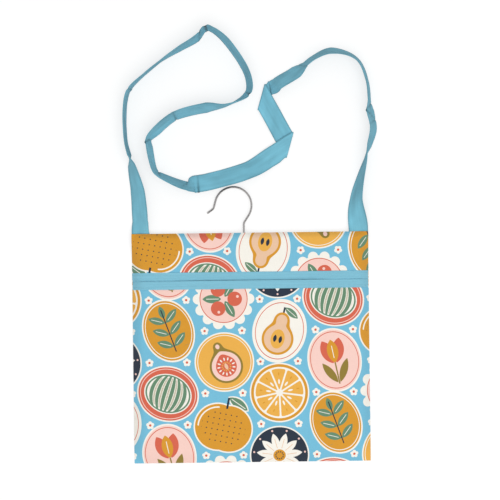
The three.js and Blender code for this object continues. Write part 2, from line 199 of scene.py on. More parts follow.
HALF_CREASE = STRAP_WIDTH / 2 / abs(math.sin(math.radians(FOLD_ANGLE) - FOLD_HEADING))
STRAP_TO_RIGHT = [
    (0.032, 0.205, 0, 0),
    (0.042, 0.214, -45, 0),
    (0.070, 0.231, -46, 0),
    (0.083, 0.242, -73, 0),
    (0.095, 0.251, -72, 0),
    (0.122, 0.261, -65, 0),
    (0.158, 0.248, -76, 0),
    (0.172, 0.217, -79, 0),
    (0.175, 0.189, -78, 0),
    (0.176, 0.173, -62, 0),
    (0.180, 0.148, -65, 0),
    (0.174, 0.124, -74, 0),
    (0.169, 0.107, -91, 0),
    (0.154, 0.046, -126, 0),
]

# Creases across the strap: x, y above the bag's top edge, strength, slant, lean of the strength to the
# strap's first edge or, below 0, to its second one, and the share of the half width that is gathered in at
# the first edge or, below 0, at the second one.
CREASES = [
    (-0.157, 0.006, 0.0, 0.00, 0.0, -0.18),
    (-0.173, 0.211, 0.6, 0.10, 0.0, 0.0),
    (-0.070, 0.285, 0.9, -0.30, -0.6, -0.15),
    (-0.0605, 0.2955, 1.0, -0.07, 0.2, 0.10),
    (-0.0585, 0.2960, 1.0, 0.07, 0.2, 0.0),
    (0.000, 0.201, 1.0, -0.07, -0.6, -0.12),
    (-0.106, 0.1705, 0.9, 0.00, 0.6, 0.08),
    (-0.1455, 0.135, 0.9, -0.22, -0.2, -0.08),
    (-0.1285, 0.086, 1.1, -0.30, 0.9, 0.10),
    (-0.093, 0.0695, 0.9, 0.30, 1.0, 0.10),
    (-0.0735, 0.072, 1.0, 0.05, -0.7, 0.0),
    (0.058, 0.126, 0.0, 0.00, 0.0, -0.07),
    (0.0325, 0.206, 0.8, 0.10, -0.3, -0.60),
    (0.0345, 0.2075, 0.0, 0.00, 0.0, 0.20),
    (0.080, 0.239, 0.4, -0.20, 0.0, 0.0),
    (0.1755, 0.181, 0.8, -0.30, 0.5, 0.15),
    (0.1775, 0.168, 0.9, 0.45, -0.5, 0.0),
    (0.1790, 0.158, 0.6, -0.20, 0.6, -0.10),
]
# A crease's strength sets both its depth and the painted shade that darkens the strap's colour there.
CREASE_WIDTH = 0.0016
CREASE_DEPTH = 0.0013
CREASE_PAINTED_SHADE = 0.62
GATHER_RUN = 0.009
# Painted shade: the colour is darkened along the strap's turned edges, which also darkens the top edge of
# upright stretches.
EDGE_TURN = 0.0016  # width of the turned edges, which show a little darker
EDGE_PAINTED_SHADE = 0.24

# Soft unevenness of the strap: height, length along it, change across it and seed.
CRUMPLE = (0.0003, 0.021, 1.3, 4.0)
PLEAT = (0.0011, 0.11, 3.1, 6.0)
WANDER = (0.03, 0.03, 0.4, 9.0)  # its height is a share of the half width
CAMBER = (1, 0.09, 0.3, 2.0)  # its height is one of the next two
FLAT_CAMBER = 0.0016
UPRIGHT_CAMBER = 0.0034
FOLD_CALM = (0.012, 0.036)  # the layers at a fold lie smooth, and are uneven again this far from it


def mix(a, b, share):
    return a + (b - a) * share


def ease(value, start, end):
    """0 before start, 1 after end and a smooth rise between them."""
    t = np.clip((value - start) / (end - start), 0, 1)
    return t * t * (3 - 2 * t)


def turn_up(distance, radius):
    """Rise of cloth that turns up from a seam, 1 once it is a radius away."""
    return np.sin(np.clip(distance / radius, 0, 1) * np.pi / 2)


def bumps(x, y, size, seed):
    """Smooth noise from -1 to 1 with bumps of about this size."""
    points = zip(np.ravel(x) / size, np.ravel(y) / size)
    return np.array([noise.noise((u, v, seed)) for u, v in points]).reshape(np.shape(x))


def waves(shape, x, y):
    """Soft waves of cloth from their height, size and seed."""
    height, size, seed = shape
    return height * bumps(x, y, size, seed)


def lengths_along(points):
    """Length of a line of points up to each of them."""
    steps = np.linalg.norm(np.diff(points, axis=0), axis=1)
    return np.concatenate([[0], np.cumsum(steps)])


def deselect():
    if bpy.context.object and bpy.context.object.mode != "OBJECT":
        bpy.ops.object.mode_set(mode="OBJECT")
    bpy.ops.object.select_all(action="DESELECT")


def make_active(piece):
    deselect()
    piece.select_set(True)
    bpy.context.view_layer.objects.active = piece


def apply_modifier(piece, kind, **settings):
    make_active(piece)
    modifier = piece.modifiers.new(kind.title(), kind)
    for key, value in settings.items():
        setattr(modifier, key, value)
    bpy.ops.object.modifier_apply(modifier=modifier.name)


def edit_all(operator, **settings):
    """Runs an edit mode operator on all of the active piece."""
    bpy.ops.object.mode_set(mode="EDIT")
    bpy.ops.mesh.select_all(action="SELECT")
    operator(**settings)
    bpy.ops.object.mode_set(mode="OBJECT")


def link_piece(name, mesh):
    piece = bpy.data.objects.new(name, mesh)
    bpy.context.collection.objects.link(piece)
    make_active(piece)
    return piece


def read_points(mesh):
    flat = np.empty(3 * len(mesh.vertices))
    mesh.vertices.foreach_get("co", flat)
    return flat.reshape(-1, 3)


def set_points(mesh, x, y, z):
    mesh.vertices.foreach_set("co", np.stack([x, y, z], axis=1).ravel())


def set_uv(mesh, places):
    """Sets the UV map from a place for each vertex."""
    corners = np.empty(len(mesh.loops), int)
    mesh.loops.foreach_get("vertex_index", corners)
    mesh.uv_layers["cut"].data.foreach_set("uv", np.asarray(places)[corners].ravel())


def closed_piece(name, points, faces, places):
    """A smooth piece that faces outwards, with a UV map from a place for each point."""
    mesh = bpy.data.meshes.new(name)
    mesh.from_pydata(points, [], faces)
    mesh.uv_layers.new(name="cut")
    set_uv(mesh, places)
    piece = link_piece(name, mesh)
    edit_all(bpy.ops.mesh.normals_make_consistent, inside=False)
    bpy.ops.object.shade_smooth()
    return piece


def dress(piece, body, slot, *materials):
    """Makes a piece ride on a body and gives it these materials. The slot is not used."""
    piece.data.materials.clear()
    for material in materials:
        piece.data.materials.append(material)
    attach(piece, body)


# Camera


def overhead_camera():
    distance = VIEW_WIDTH * LENS / SENSOR
    bpy.ops.object.camera_add(location=(0, VIEW_MIDDLE_Y, distance))
    camera = bpy.context.object
    camera.rotation_euler = (0, 0, math.radians(-VIEW_TURN))
    camera.data.lens = LENS
    camera.data.sensor_width = SENSOR
    bpy.context.scene.camera = camera


# Shoulder strap


def curve_at(points, place):
    """Point and direction on a centripetal Catmull-Rom curve. Place counts points from the first."""
    i = min(int(place), len(points) - 2)
    t = place - i
    here, after = points[i], points[i + 1]
    before = points[i - 1] if i > 0 else 2 * here - after
    beyond = points[i + 2] if i + 2 < len(points) else 2 * after - here
    pairs = ((before, here), (here, after), (after, beyond))
    d0, d1, d2 = (np.linalg.norm(b - a) ** 0.5 for a, b in pairs)
    start = d1 * ((here - before) / d0 - (after - before) / (d0 + d1) + (after - here) / d1)
    end = d1 * ((after - here) / d1 - (beyond - here) / (d1 + d2) + (beyond - after) / d2)
    square = 3 * (after - here) - 2 * start - end
    cube = 2 * (here - after) + start + end
    point = here + t * (start + t * (square + t * cube))
    return point, start + t * (2 * square + 3 * t * cube)


def rest_height(lean, lift):
    """Height of the strap's middle when its lower edge lies on what is below it."""
    return GAP / 2 + (STRAP_WIDTH * abs(math.sin(lean)) + STRAP_SOLID * abs(math.cos(lean))) / 2 + lift


def cross_line(middle, heading, side, lean):
    """One line across the strap, no longer than a crease: its middle and the way to its first edge."""
    half = min(STRAP_WIDTH / 2 / abs(math.sin(side - heading)), HALF_CREASE)
    flat = math.cos(lean)
    return np.array(middle), half * np.array((math.cos(side) * flat, math.sin(side) * flat, math.sin(lean)))


def curved_stretch(route, fold_index):
    """Cross lines along a curved stretch. Towards its fold they turn to lie along the crease."""
    flat = [np.array((x, TOP + y)) for x, y, _, _ in route]
    lines = []
    for place in np.linspace(0, len(route) - 1, (len(route) - 1) * STRAP_STEPS + 1):
        _, _, lean, lift = route[math.floor(place)]
        _, _, next_lean, next_lift = route[math.ceil(place)]
        lean = math.radians(mix(lean, next_lean, place % 1))
        level = rest_height(lean, mix(lift, next_lift, place % 1))
        (x, y), (way_x, way_y) = curve_at(flat, place)
        heading = math.atan2(way_y, way_x)
        from_fold = ease(abs(place - fold_index), 0, FOLD_TURN)
        side = mix(math.radians(FOLD_ANGLE), heading + math.pi / 2, from_fold)
        lines.append(cross_line((x, y, level), heading, side, lean))
    return lines


def fold_turn(fold, outward):
    """Cross lines round a flat fold, from the upper layer to the lower one."""
    radius = FOLD_LIFT / 2
    lines = []
    for turn in np.linspace(0, math.pi, FOLD_STEPS + 1)[1:-1]:
        reach = radius * math.sin(turn)
        x = fold[0] + reach * math.cos(outward)
        y = TOP + fold[1] + reach * math.sin(outward)
        z = rest_height(0, 0) + radius + radius * math.cos(turn)
        lines.append(cross_line((x, y, z), FOLD_HEADING, math.radians(FOLD_ANGLE), 0))
    return lines


def straight_stretch():
    """Cross lines between the folds, climbing from the lower layer to the upper one."""
    lines = []
    for share in np.linspace(0, 1, 3 * FOLD_STEPS):
        x, y = (mix(low, high, share) for low, high in zip(LOWER_FOLD, UPPER_FOLD))
        middle = (x, TOP + y, rest_height(0, FOLD_LIFT * ease(share, *CLIMB)))
        lines.append(cross_line(middle, FOLD_HEADING, math.radians(FOLD_ANGLE), 0))
    return lines


def strap_lines():
    seam_lift = BAR_LEVEL - rest_height(0, 0)
    tails = (-STRAP_TAIL, STRAP_TAIL / 2)
    left = [(-STRAP_X, y, 0, seam_lift) for y in tails] + STRAP_FROM_LEFT + [(*LOWER_FOLD, 0, FOLD_LIFT)]
    right = [(*UPPER_FOLD, 0, 0)] + STRAP_TO_RIGHT + [(STRAP_X, y, -180, seam_lift) for y in tails[::-1]]
    crease = math.radians(FOLD_ANGLE)
    return [
        *curved_stretch(left, len(left) - 1),
        *fold_turn(LOWER_FOLD, crease - math.pi / 2),
        *straight_stretch(),
        *fold_turn(UPPER_FOLD, crease + math.pi / 2),
        *curved_stretch(right, 0),
    ]


def strap_section():
    """Points round the strap's section: share of its half width and of its half thickness."""
    angles = np.linspace(0, 2 * np.pi, SECTION_POINTS, endpoint=False) + np.pi / SECTION_POINTS
    round_parts = (np.cos(angles), np.sin(angles))
    across, thick = (np.sign(part) * np.abs(part) ** SECTION_POWER for part in round_parts)
    rolled = mix(SECTION_MIDDLE, 1, np.abs(across) ** EDGE_ROLL)
    return list(zip(across, thick * rolled))


def creased(creases, far, share):
    """At a place along and across the strap: how sharply it is creased and its share of the full width."""
    strength = 0
    width = 1
    for at, most, slant, to_edge, gather in creases:
        away = far - at - slant * share * STRAP_WIDTH / 2
        lean = (1 + to_edge * share) / (1 + abs(to_edge))
        strength += most * lean * math.exp(-((away / CREASE_WIDTH) ** 2))
        if gather * share > 0:
            width -= abs(gather) * math.exp(-((away / GATHER_RUN) ** 2))
    return min(strength, 1), width


def uneven(shape, far, share):
    """Soft unevenness at a place along and across the strap."""
    height, run, change, seed = shape
    return height * noise.noise((far / run, share * change, seed))


def strap_relief(far, share, upright):
    """Rise of the cloth from the strap's plain shape. Upright is 0 where it lies flat and 1 on its edge."""
    camber = mix(FLAT_CAMBER, UPRIGHT_CAMBER, upright) * uneven(CAMBER, far, 1)
    free = 1 - share**2
    return uneven(CRUMPLE, far, share) + (uneven(PLEAT, far, share) + camber) * free


def strap_surface(lines, middles):
    """Points round every cross line, their places on the flat strap and how sharply they are creased."""
    along = lengths_along(middles)
    headings = np.gradient(middles, axis=0)

    def far_along(x, y):
        return along[np.argmin(np.hypot(middles[:, 0] - x, middles[:, 1] - TOP - y))]

    creases = [(far_along(x, y), *shape) for x, y, *shape in CREASES]
    folds = [far_along(*fold) for fold in (LOWER_FOLD, UPPER_FOLD)]
    section = strap_section()
    points = []
    places = []
    painted_crease_shade = []
    for (middle, across), heading, far in zip(lines, headings, along):
        normal = np.cross(heading, across)
        normal /= np.linalg.norm(normal)
        upright = abs(across[2]) / np.linalg.norm(across)
        loose = ease(min(abs(far - fold) for fold in folds), *FOLD_CALM)
        for share, face in section:
            crease, width = creased(creases, far, share)
            reach = share * (width + uneven(WANDER, far, share))
            relief = loose * strap_relief(far, share, upright)
            rise = face * STRAP_THICKNESS / 2 + relief - CREASE_DEPTH * crease
            points.append(middle + across * reach + normal * rise)
            places.append((share * STRAP_WIDTH / 2, far))
            # How sharply a point is creased is kept as painted shade for the strap's colour.
            painted_crease_shade.append(crease)
    return points, places, painted_crease_shade


def tube_faces(rings, count):
    """Faces of a tube of rings with count points each, closed at both ends."""
    faces = []
    for first in range(0, (rings - 1) * count, count):
        for k in range(count):
            here, beside = first + k, first + (k + 1) % count
            faces.append((here, beside, beside + count, here + count))
    last = (rings - 1) * count
    return faces + [tuple(reversed(range(count))), tuple(range(last, last + count))]


def shoulder_strap(finish):
    lines = strap_lines()
    middles = np.array([middle for middle, _ in lines])
    points, places, painted_crease_shade = strap_surface(lines, middles)
    strap = closed_piece("strap_ribbon", points, tube_faces(len(lines), SECTION_POINTS), places)
    # The crease attribute carries that painted shade to the strap's material.
    strap.data.attributes.new("crease", "FLOAT", "POINT").data.foreach_set("value", painted_crease_shade)
    dress(strap, "bag", "plain_cotton", finish)
    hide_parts("shoulder_strap")


# Shape of the bag's cloth


def from_side(x):
    return turn_up(SIDE - np.abs(x), SIDE_ROUND)


def strap_spread(x, y):
    """How far each panel gives way to a sewn end of the strap."""
    across = ease(np.abs(x), SIDE - STRAP_WIDTH - SPREAD_RUN, SIDE - STRAP_WIDTH)
    return (STRAP_SOLID + GAP) / 2 * across * ease(y, TAIL_END - SPREAD_RUN, TAIL_END)


def shank_gape(x, y):
    return SHANK_GAPE * np.exp(-(((x - HOOK_X) / SHANK_GAPE_X) ** 2)) * ease(y, TOP - SHANK_GAPE_Y, TOP)


def side_lift(y):
    return TOP_LIFT * ease(y, TAIL_END - CORNER_LIFT, TAIL_END)


def seam_pucker(x, y, seed):
    """Small ripples that a side seam draws into the cloth beside it."""
    away = SIDE - np.abs(x)
    fade = np.exp(-away / PUCKER_FADE) * ease(away, 0, PUCKER_START)
    return PUCKER * fade * bumps(np.sign(x) * PUCKER_ROW, y, PUCKER_LENGTH, seed)


def lip_level(levels, x):
    """Level of a lip, from its levels at the mouth's middle and towards its ends."""
    return mix(*levels, ease(np.abs(x), *MOUTH_SHUT))


def back_height(x, y):
    middle = TOP_LIFT * (1 - turn_up(TOP - y, TOP_ROUND))
    lift = mix(side_lift(y), middle, from_side(x))
    return BACK_LEVEL + lift * (1 - strap_spread(x, y) / TOP_LIFT) - shank_gape(x, y)


def yoke_height(x, y):
    over_bar = mix(lip_level(YOKE_LIP_LEVEL, x), YOKE_LEVEL, ease(y, MOUTH, MOUTH + LIP_FALL))
    middle = mix(EDGE_LEVEL + TOP_LIFT, over_bar, turn_up(TOP - y, TOP_ROUND))
    lift = mix(EDGE_LEVEL + side_lift(y), middle, from_side(x))
    wave = waves(YOKE_WAVE, x, y) * from_side(x) * ease(TOP - y, 0, YOKE_WAVE_START)
    return lift + strap_spread(x, y) + shank_gape(x, y) + wave + seam_pucker(x, y, YOKE_PUCKER_SEED)


def pouch_height(x, y):
    middle = mix(POUCH_LEVEL, lip_level(POUCH_LIP_LEVEL, x), ease(y, MOUTH - LIP_SLOPE, MOUTH))
    away = from_side(x) * turn_up(TOP + y, BOTTOM_ROUND)
    slack = waves(POUCH_SAG, x, y) + waves(POUCH_WAVE, x * POUCH_WAVE_STRETCH, y)
    return mix(EDGE_LEVEL, middle + slack, away) + seam_pucker(x, y, POUCH_PUCKER_SEED)


# Each lip of the mouth: its edge, the side of it on which its panel lies and that panel's shape.
LIPS = [(UPPER_LIP, 1, yoke_height), (LOWER_LIP, -1, pouch_height)]


# Cloth panels and tape


def grid(name, columns, rows):
    """A flat unit grid about the origin, whose UV map covers 0 to 1."""
    deselect()
    bpy.ops.mesh.primitive_grid_add(x_subdivisions=columns, y_subdivisions=rows, size=1)
    piece = bpy.context.object
    piece.name = name
    piece.data.name = name
    piece.data.uv_layers[0].name = "cut"
    return piece


def cloth_panel(name, bottom, top, height, cut, cloth, face_up=True):
    """A panel of the bag from bottom to top, of cloth with a printed face and a reverse."""
    columns = round(2 * SIDE / CLOTH_STEP)
    rows = round((top - bottom) / CLOTH_STEP)
    panel = grid(name, columns, rows)
    share = read_points(panel.data) + 0.5
    x = mix(-SIDE, SIDE, share[:, 0])
    y = mix(bottom, top, share[:, 1])
    set_points(panel.data, x, y, height(x, y))
    (start_x, way_x), (start_y, way_y) = cut
    set_uv(panel.data, np.stack([start_x + way_x * x, start_y + way_y * y], axis=1))
    if not face_up:
        panel.data.flip_normals()
    dress(panel, "bag", "printed_cotton", *cloth)
    apply_modifier(panel, "SOLIDIFY", thickness=CLOTH, offset=0, material_offset=1)
    bpy.ops.object.shade_smooth_by_angle(angle=math.radians(PANEL_SMOOTH))
    return panel


def bag_panels(*cloth):
    back = cloth_panel("back_cloth", -TOP, TOP, back_height, BACK_CUT, cloth, face_up=False)
    yoke = cloth_panel("yoke_cloth", UPPER_LIP + LIP_CUT, TOP, yoke_height, YOKE_CUT, cloth)
    pouch = cloth_panel("pouch_cloth", -TOP, LOWER_LIP - LIP_CUT, pouch_height, POUCH_CUT, cloth)
    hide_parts("back_panel")
    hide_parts("front_yoke")
    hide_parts("pouch_front")


def tape_profile():
    """Points across the tape: distance from the lip into the panel, and 1 in front of it to -1 behind."""
    leg = np.linspace(TAPE_WIDTH, TAPE_REACH, TAPE_ROWS)
    turn = np.linspace(np.pi / 2, -np.pi / 2, TAPE_TURN_ROWS)[1:-1]
    front = [(y, 1.0) for y in leg]
    fold = [(TAPE_REACH * (1 - math.cos(a)), math.sin(a)) for a in turn]
    back = [(y, -1.0) for y in leg[::-1]]
    return np.array(front + fold + back)


def tape_rise(x, into, lip):
    """Rise of the tape off its panel, at a distance into the panel from the lip."""
    doubled = TURN_UNDER * ease(into, *TURN_UNDER_RUN)
    from_stitches = into - TAPE_WIDTH + STITCH_INSET
    groove = STITCH_GROOVE * np.exp(-((from_stitches / STITCH_GROOVE_WIDTH) ** 2))
    seed = lip * LIP_SEED
    pucker = waves((*TAPE_PUCKER, seed), x, into * TAPE_PUCKER_STRETCH)
    wave = waves((*TAPE_WAVE, seed + TAPE_WAVE_SEED), x, into)
    return doubled - groove + (pucker + wave) * ease(into, 0, LIP_TIGHT)


def lip_tape(name, node, panel, lip, inward, height, finish):
    """Tape folded over a panel's lip. Inward is 1 where the panel lies above the lip and -1 below it."""
    profile = tape_profile()
    half = SIDE - TAPE_INSET
    tape = grid(name, round(2 * half / TAPE_STEP), len(profile) - 1)
    share = read_points(tape.data) + 0.5
    row = np.rint(share[:, 1] * (len(profile) - 1)).astype(int)
    x = mix(-half, half, share[:, 0])
    into, face = profile[row, 0], profile[row, 1]
    y = lip + inward * into
    set_points(tape.data, x, y, height(x, y) + face * (TAPE_REACH + tape_rise(x, into, lip)))
    girth = lengths_along(profile * (1, TAPE_REACH))
    set_uv(tape.data, np.stack([x, girth[row]], axis=1))
    if inward > 0:
        tape.data.flip_normals()
    apply_modifier(tape, "SOLIDIFY", thickness=TAPE, offset=0)
    bpy.ops.object.shade_smooth_by_angle(angle=math.radians(TAPE_SMOOTH))
    dress(tape, "bag", "plain_cotton", finish)
    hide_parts(node)


def stitch_places():
    """Middle of each stitch on the front, with the way that its thread runs: 0 across the bag and 1 up it."""
    half = SIDE - TAPE_INSET - STITCH_PITCH
    xs = np.arange(-half, half, STITCH_PITCH)
    places = []
    for lip, inward, height in LIPS:
        y = lip + inward * (TAPE_WIDTH - STITCH_INSET)
        places += [(x, y, z, 0) for x, z in zip(xs, height(xs, np.full_like(xs, y)))]
        ys = lip + inward * np.arange(STITCH_PITCH / 2, TAPE_WIDTH - STITCH_INSET, STITCH_PITCH)
        for side in (-1, 1):
            x = side * (SIDE - TACK_INSET)
            places += [(x, y, z, 1) for y, z in zip(ys, height(np.full_like(ys, x), ys))]
    return places


def stitches(finish):
    """The stitches of both tapes and of the mouth's ends, one model copied to each place."""
    deselect()
    bpy.ops.mesh.primitive_uv_sphere_add(segments=8, ring_count=6, radius=0.5)
    model = bpy.context.object
    edit_all(bpy.ops.transform.rotate, value=math.pi / 2, orient_axis="Y", center_override=(0, 0, 0))
    edit_all(bpy.ops.transform.resize, value=STITCH_SIZE)
    bead = read_points(model.data)
    sides = [tuple(face.vertices) for face in model.data.polygons]
    bpy.data.objects.remove(model)
    points = []
    faces = []
    for x, y, z, up in stitch_places():
        first = len(points)
        for across, along, out in bead:
            across, along = (along, across) if up else (across, along)
            points.append((x + across, y + along, z + out + TAPE_REACH + TAPE / 2))
        faces += [tuple(first + k for k in side) for side in sides]
    row = closed_piece("mouth_stitches", points, faces, [(x, y) for x, y, _ in points])
    dress(row, "bag", "plain_cotton", finish)


# Hook and bar

MERGE = 0.00001
METAL_SMOOTH = 35


def smooth_copy(node, name):
    """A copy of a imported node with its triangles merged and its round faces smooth."""
    piece = link_piece(name, frame["nodes"][node].data.copy())
    edit_all(bpy.ops.mesh.remove_doubles, threshold=MERGE)
    bpy.ops.object.shade_smooth_by_angle(angle=math.radians(METAL_SMOOTH))
    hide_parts(node)
    return piece


# Materials


def ink(code):
    """The linear colour of a hex code."""
    levels = [int(code[i:i + 2], 16) / 255 for i in (1, 3, 5)]
    linear = [v / 12.92 if v <= 0.04045 else ((v + 0.055) / 1.055) ** 2.4 for v in levels]
    return (*linear, 1)


SKY = ink("#7ac2de")
CREAM = ink("#fcf8ee")
MUSTARD = ink("#dd9c33")
AMBER = ink("#f0b450")
PINK = ink("#fdd5ca")
PEACH = ink("#f0c9a8")
CORAL = ink("#dc6a52")
OLIVE = ink("#95803a")
SAGE = ink("#6a8f72")
NAVY = ink("#2e3846")
PLAIN_BLUE = ink("#7bbfd4")
TAPE_BLUE = ink("#85c4d9")
THREAD_BLUE = ink("#8ccade")
REVERSE_WHITE = ink("#dfe9ea")
WIRE_GREY = ink("#bcb9b8")
BEECH = ink("#d8b385")

# The print, in millimetres.
MM = 1000  # to the metre
OUTLINE = 2  # cream round each motif
RING_INSET = 2.6  # of the thin ring inside a backing's edge
RING_HALF = 0.5
INK_EDGE = 0.3  # in which one ink gives way to the next
REPEAT = (240, 270)
SMALL_REPEAT = (80, 90)


class Field:
    """A number at each point of a surface: a node's output, with arithmetic that adds Math nodes."""

    def __init__(self, tree, socket):
        self.tree = tree
        self.socket = socket

    def math(self, operation, *values, clamp=False):
        node = self.tree.nodes.new("ShaderNodeMath")
        node.operation = operation
        node.use_clamp = clamp
        for entry, value in zip(node.inputs, (self, *values)):
            feed(self.tree, entry, value)
        return Field(self.tree, node.outputs[0])

    def __add__(self, other):
        return self.math("ADD", other)

    def __sub__(self, other):
        return self.math("SUBTRACT", other)

    def __rsub__(self, other):
        return self.math("MULTIPLY_ADD", -1, other)

    def __mul__(self, other):
        return self.math("MULTIPLY", other)

    def __abs__(self):
        return self.math("ABSOLUTE")


def feed(tree, entry, value):
    """Links a field or another node's socket to an input, or sets the input to a plain value."""
    source = value.socket if isinstance(value, Field) else value
    if isinstance(source, bpy.types.NodeSocket):
        tree.links.new(source, entry)
    else:
        entry.default_value = source


def cover(tree, share, under, over):
    """A colour laid over another one by a share."""
    node = tree.nodes.new("ShaderNodeMix")
    node.data_type = "RGBA"
    for entry, value in zip((node.inputs[0], *node.inputs[6:8]), (share, under, over)):
        feed(tree, entry, value)
    return node.outputs[2]


def tint(tree, colour, factor):
    """A colour, a socket or a plain one, made lighter or darker by a field."""
    node = tree.nodes.new("ShaderNodeVectorMath")
    node.operation = "SCALE"
    feed(tree, node.inputs[0], colour if isinstance(colour, bpy.types.NodeSocket) else colour[:3])
    feed(tree, node.inputs["Scale"], factor)
    return node.outputs[0]


def length(x, y):
    return y.math("MULTIPLY_ADD", y, x * x).math("SQRT")


def both(a, b):
    """Distance to what two shapes share."""
    return a.math("MAXIMUM", b)


def merged(a, b, blend):
    """Distance to two shapes run together."""
    return a.math("SMOOTH_MIN", b, blend)


def bar(x, y, half_x, half_y):
    return both(abs(x) - half_x, abs(y) - half_y)


def oval(x, y, half_x, half_y):
    return (length(x * (1 / half_x), y * (1 / half_y)) - 1) * min(half_x, half_y)


def leaf(x, y, long, wide):
    """Distance to a pointed leaf of two arcs that lies along Y about the origin."""
    radius = (long**2 + wide**2) / (4 * wide)
    return length(abs(x) + (radius - wide / 2), y) - radius


def turned(x, y, degrees):
    """The same place in axes turned by these degrees."""
    c, s = math.cos(math.radians(degrees)), math.sin(math.radians(degrees))
    return x.math("MULTIPLY_ADD", c, y * s), y.math("MULTIPLY_ADD", c, x * -s)


def wedge(x, y, count):
    """Place along and across one of count equal wedges round the origin."""
    radius = length(x, y)
    half = math.pi / count
    turn = y.math("ARCTAN2", x).math("WRAP", half, -half)
    return radius * turn.math("COSINE"), radius * turn.math("SINE")


class ClothPrint:
    """Inks laid one over another on a cloth's UV map, which holds places on the cloth in metres."""

    def __init__(self, tree, place):
        self.tree = tree
        self.place = place
        self.colour = SKY

    def lattice(self, x, y):
        """A weighted sum of the place's two parts."""
        node = self.tree.nodes.new("ShaderNodeVectorMath")
        node.operation = "DOT_PRODUCT"
        feed(self.tree, node.inputs[0], self.place)
        feed(self.tree, node.inputs[1], (x, y, 0))
        return Field(self.tree, node.outputs["Value"])

    def around(self, centre, turn, repeat=REPEAT):
        """Millimetres from the nearest copy of a motif. Each next column is half a repeat lower."""
        wide, high = repeat
        u = self.lattice(MM / wide, 0) - centre[0] / wide
        v = self.lattice(-MM / 2 / wide, MM / high) - (centre[1] / high - centre[0] / wide / 2)
        u = u.math("WRAP", 0.5, -0.5)
        v = v.math("WRAP", 0.5, -0.5)
        return turned(u * wide, u.math("MULTIPLY_ADD", 0.5, v) * high, turn)

    def paint(self, distance, colour):
        """Inks what lies below zero distance."""
        share = distance.math("MULTIPLY_ADD", -1 / INK_EDGE, 0.5, clamp=True)
        self.colour = cover(self.tree, share, self.colour, colour)


# Motifs of the print, each drawn about its own middle.


def plate(cloth, distance, colour, ring):
    """A backing with a cream border and a thin ring of another ink."""
    cloth.paint(distance - OUTLINE, CREAM)
    cloth.paint(distance, colour)
    cloth.paint(abs(distance + RING_INSET) - RING_HALF, ring)


def citrus_slice(cloth, x, y):
    rind, pith, flesh, count = 41, 37, 34.5, 9
    half = math.pi / count
    radius = length(x, y)
    along, across = wedge(x, y, count)
    wall = along * math.sin(half) - abs(across) * math.cos(half)
    segment = (1.2 - wall).math("SMOOTH_MAX", radius - flesh, 4)
    cloth.paint(radius - (rind + OUTLINE), CREAM)
    cloth.paint(radius - rind, MUSTARD)
    cloth.paint(radius - pith, CREAM)
    cloth.paint(both(segment, 5 - radius), AMBER)
    cloth.paint(oval(along - 16, across, 3.6, 1.3), CREAM)
    cloth.paint(oval(along - 27, across, 2.2, 0.8), MUSTARD)


def pear_half(cloth, x, y):
    body = merged(length(x, y + 12) - 23, length(x, y - 16) - 11, 17)
    stalk_leaf = turned(x - 11, y - 29, 62)
    plate(cloth, oval(x, y, 37, 44), CREAM, CORAL)
    cloth.paint(leaf(*stalk_leaf, 24, 10), SAGE)
    cloth.paint(bar(*stalk_leaf, 0.4, 9), CREAM)
    cloth.paint(bar(x, y - 29, 1.3, 6), NAVY)
    cloth.paint(body, MUSTARD)
    cloth.paint(body + 3.4, PEACH)
    cloth.paint(oval(x, y + 12, 10, 14), AMBER)
    cloth.paint(leaf(abs(x) - 4, y + 12, 11, 5), NAVY)


def leaf_sprig(cloth, x, y):
    stem_half, pitch = 28, 18
    step = y.math("WRAP", pitch / 2, -pitch / 2)
    side = turned(abs(x) - 11, step - 1, -56)
    within = abs(y) - stem_half
    plate(cloth, oval(x, y, 35, 44), MUSTARD, CREAM)
    cloth.paint(both(leaf(*side, 25, 10.5), within), SAGE)
    cloth.paint(leaf(x, y - stem_half, 19, 9), SAGE)
    cloth.paint(both(bar(*side, 0.4, 8), within), CREAM)
    cloth.paint(bar(x, y, 0.8, stem_half + 4), NAVY)


def daisy_badge(cloth, x, y):
    radius = length(x, y)
    along, across = wedge(x, y, 11)
    cloth.paint(radius - (41 + OUTLINE), CREAM)
    cloth.paint(radius - 41, NAVY)
    cloth.paint(leaf(across, along - 19, 28, 11), CREAM)
    cloth.paint(bar(across, along - 18, 0.45, 7), PEACH)
    cloth.paint(length(along - 37, across) - 1.4, PINK)
    cloth.paint(radius - 9, MUSTARD)
    cloth.paint(length(along - 5.4, across) - 1, NAVY)


def fig_half(cloth, x, y):
    body = merged(length(x, y + 7) - 24, length(x, y - 25) - 5, 25)
    along, across = wedge(x, y + 7, 13)
    plate(cloth, length(x, y) - 41, AMBER, CREAM)
    cloth.paint(body, OLIVE)
    cloth.paint(body + 3, PINK)
    cloth.paint(merged(length(x, y + 7) - 15, length(x, y - 7) - 3, 14), CORAL)
    cloth.paint(oval(along - 11, across, 2.3, 1), CREAM)
    cloth.paint(oval(along - 6, across, 1.4, 0.7), AMBER)
    cloth.paint(leaf(x, y + 7, 10, 5), PEACH)


def tulip_badge(cloth, x, y):
    plate(cloth, oval(x, y, 37, 44), PINK, CORAL)
    cloth.paint(bar(x, y + 16, 1, 19), OLIVE)
    cloth.paint(leaf(*turned(abs(x) - 10, y + 17, -28), 36, 11), OLIVE)
    cloth.paint(leaf(*turned(abs(x) - 7.5, y - 13, -16), 36, 18), CORAL)
    cloth.paint(leaf(x, y - 13, 34, 16), MUSTARD)
    cloth.paint(bar(x, y - 12, 0.5, 9), CREAM)


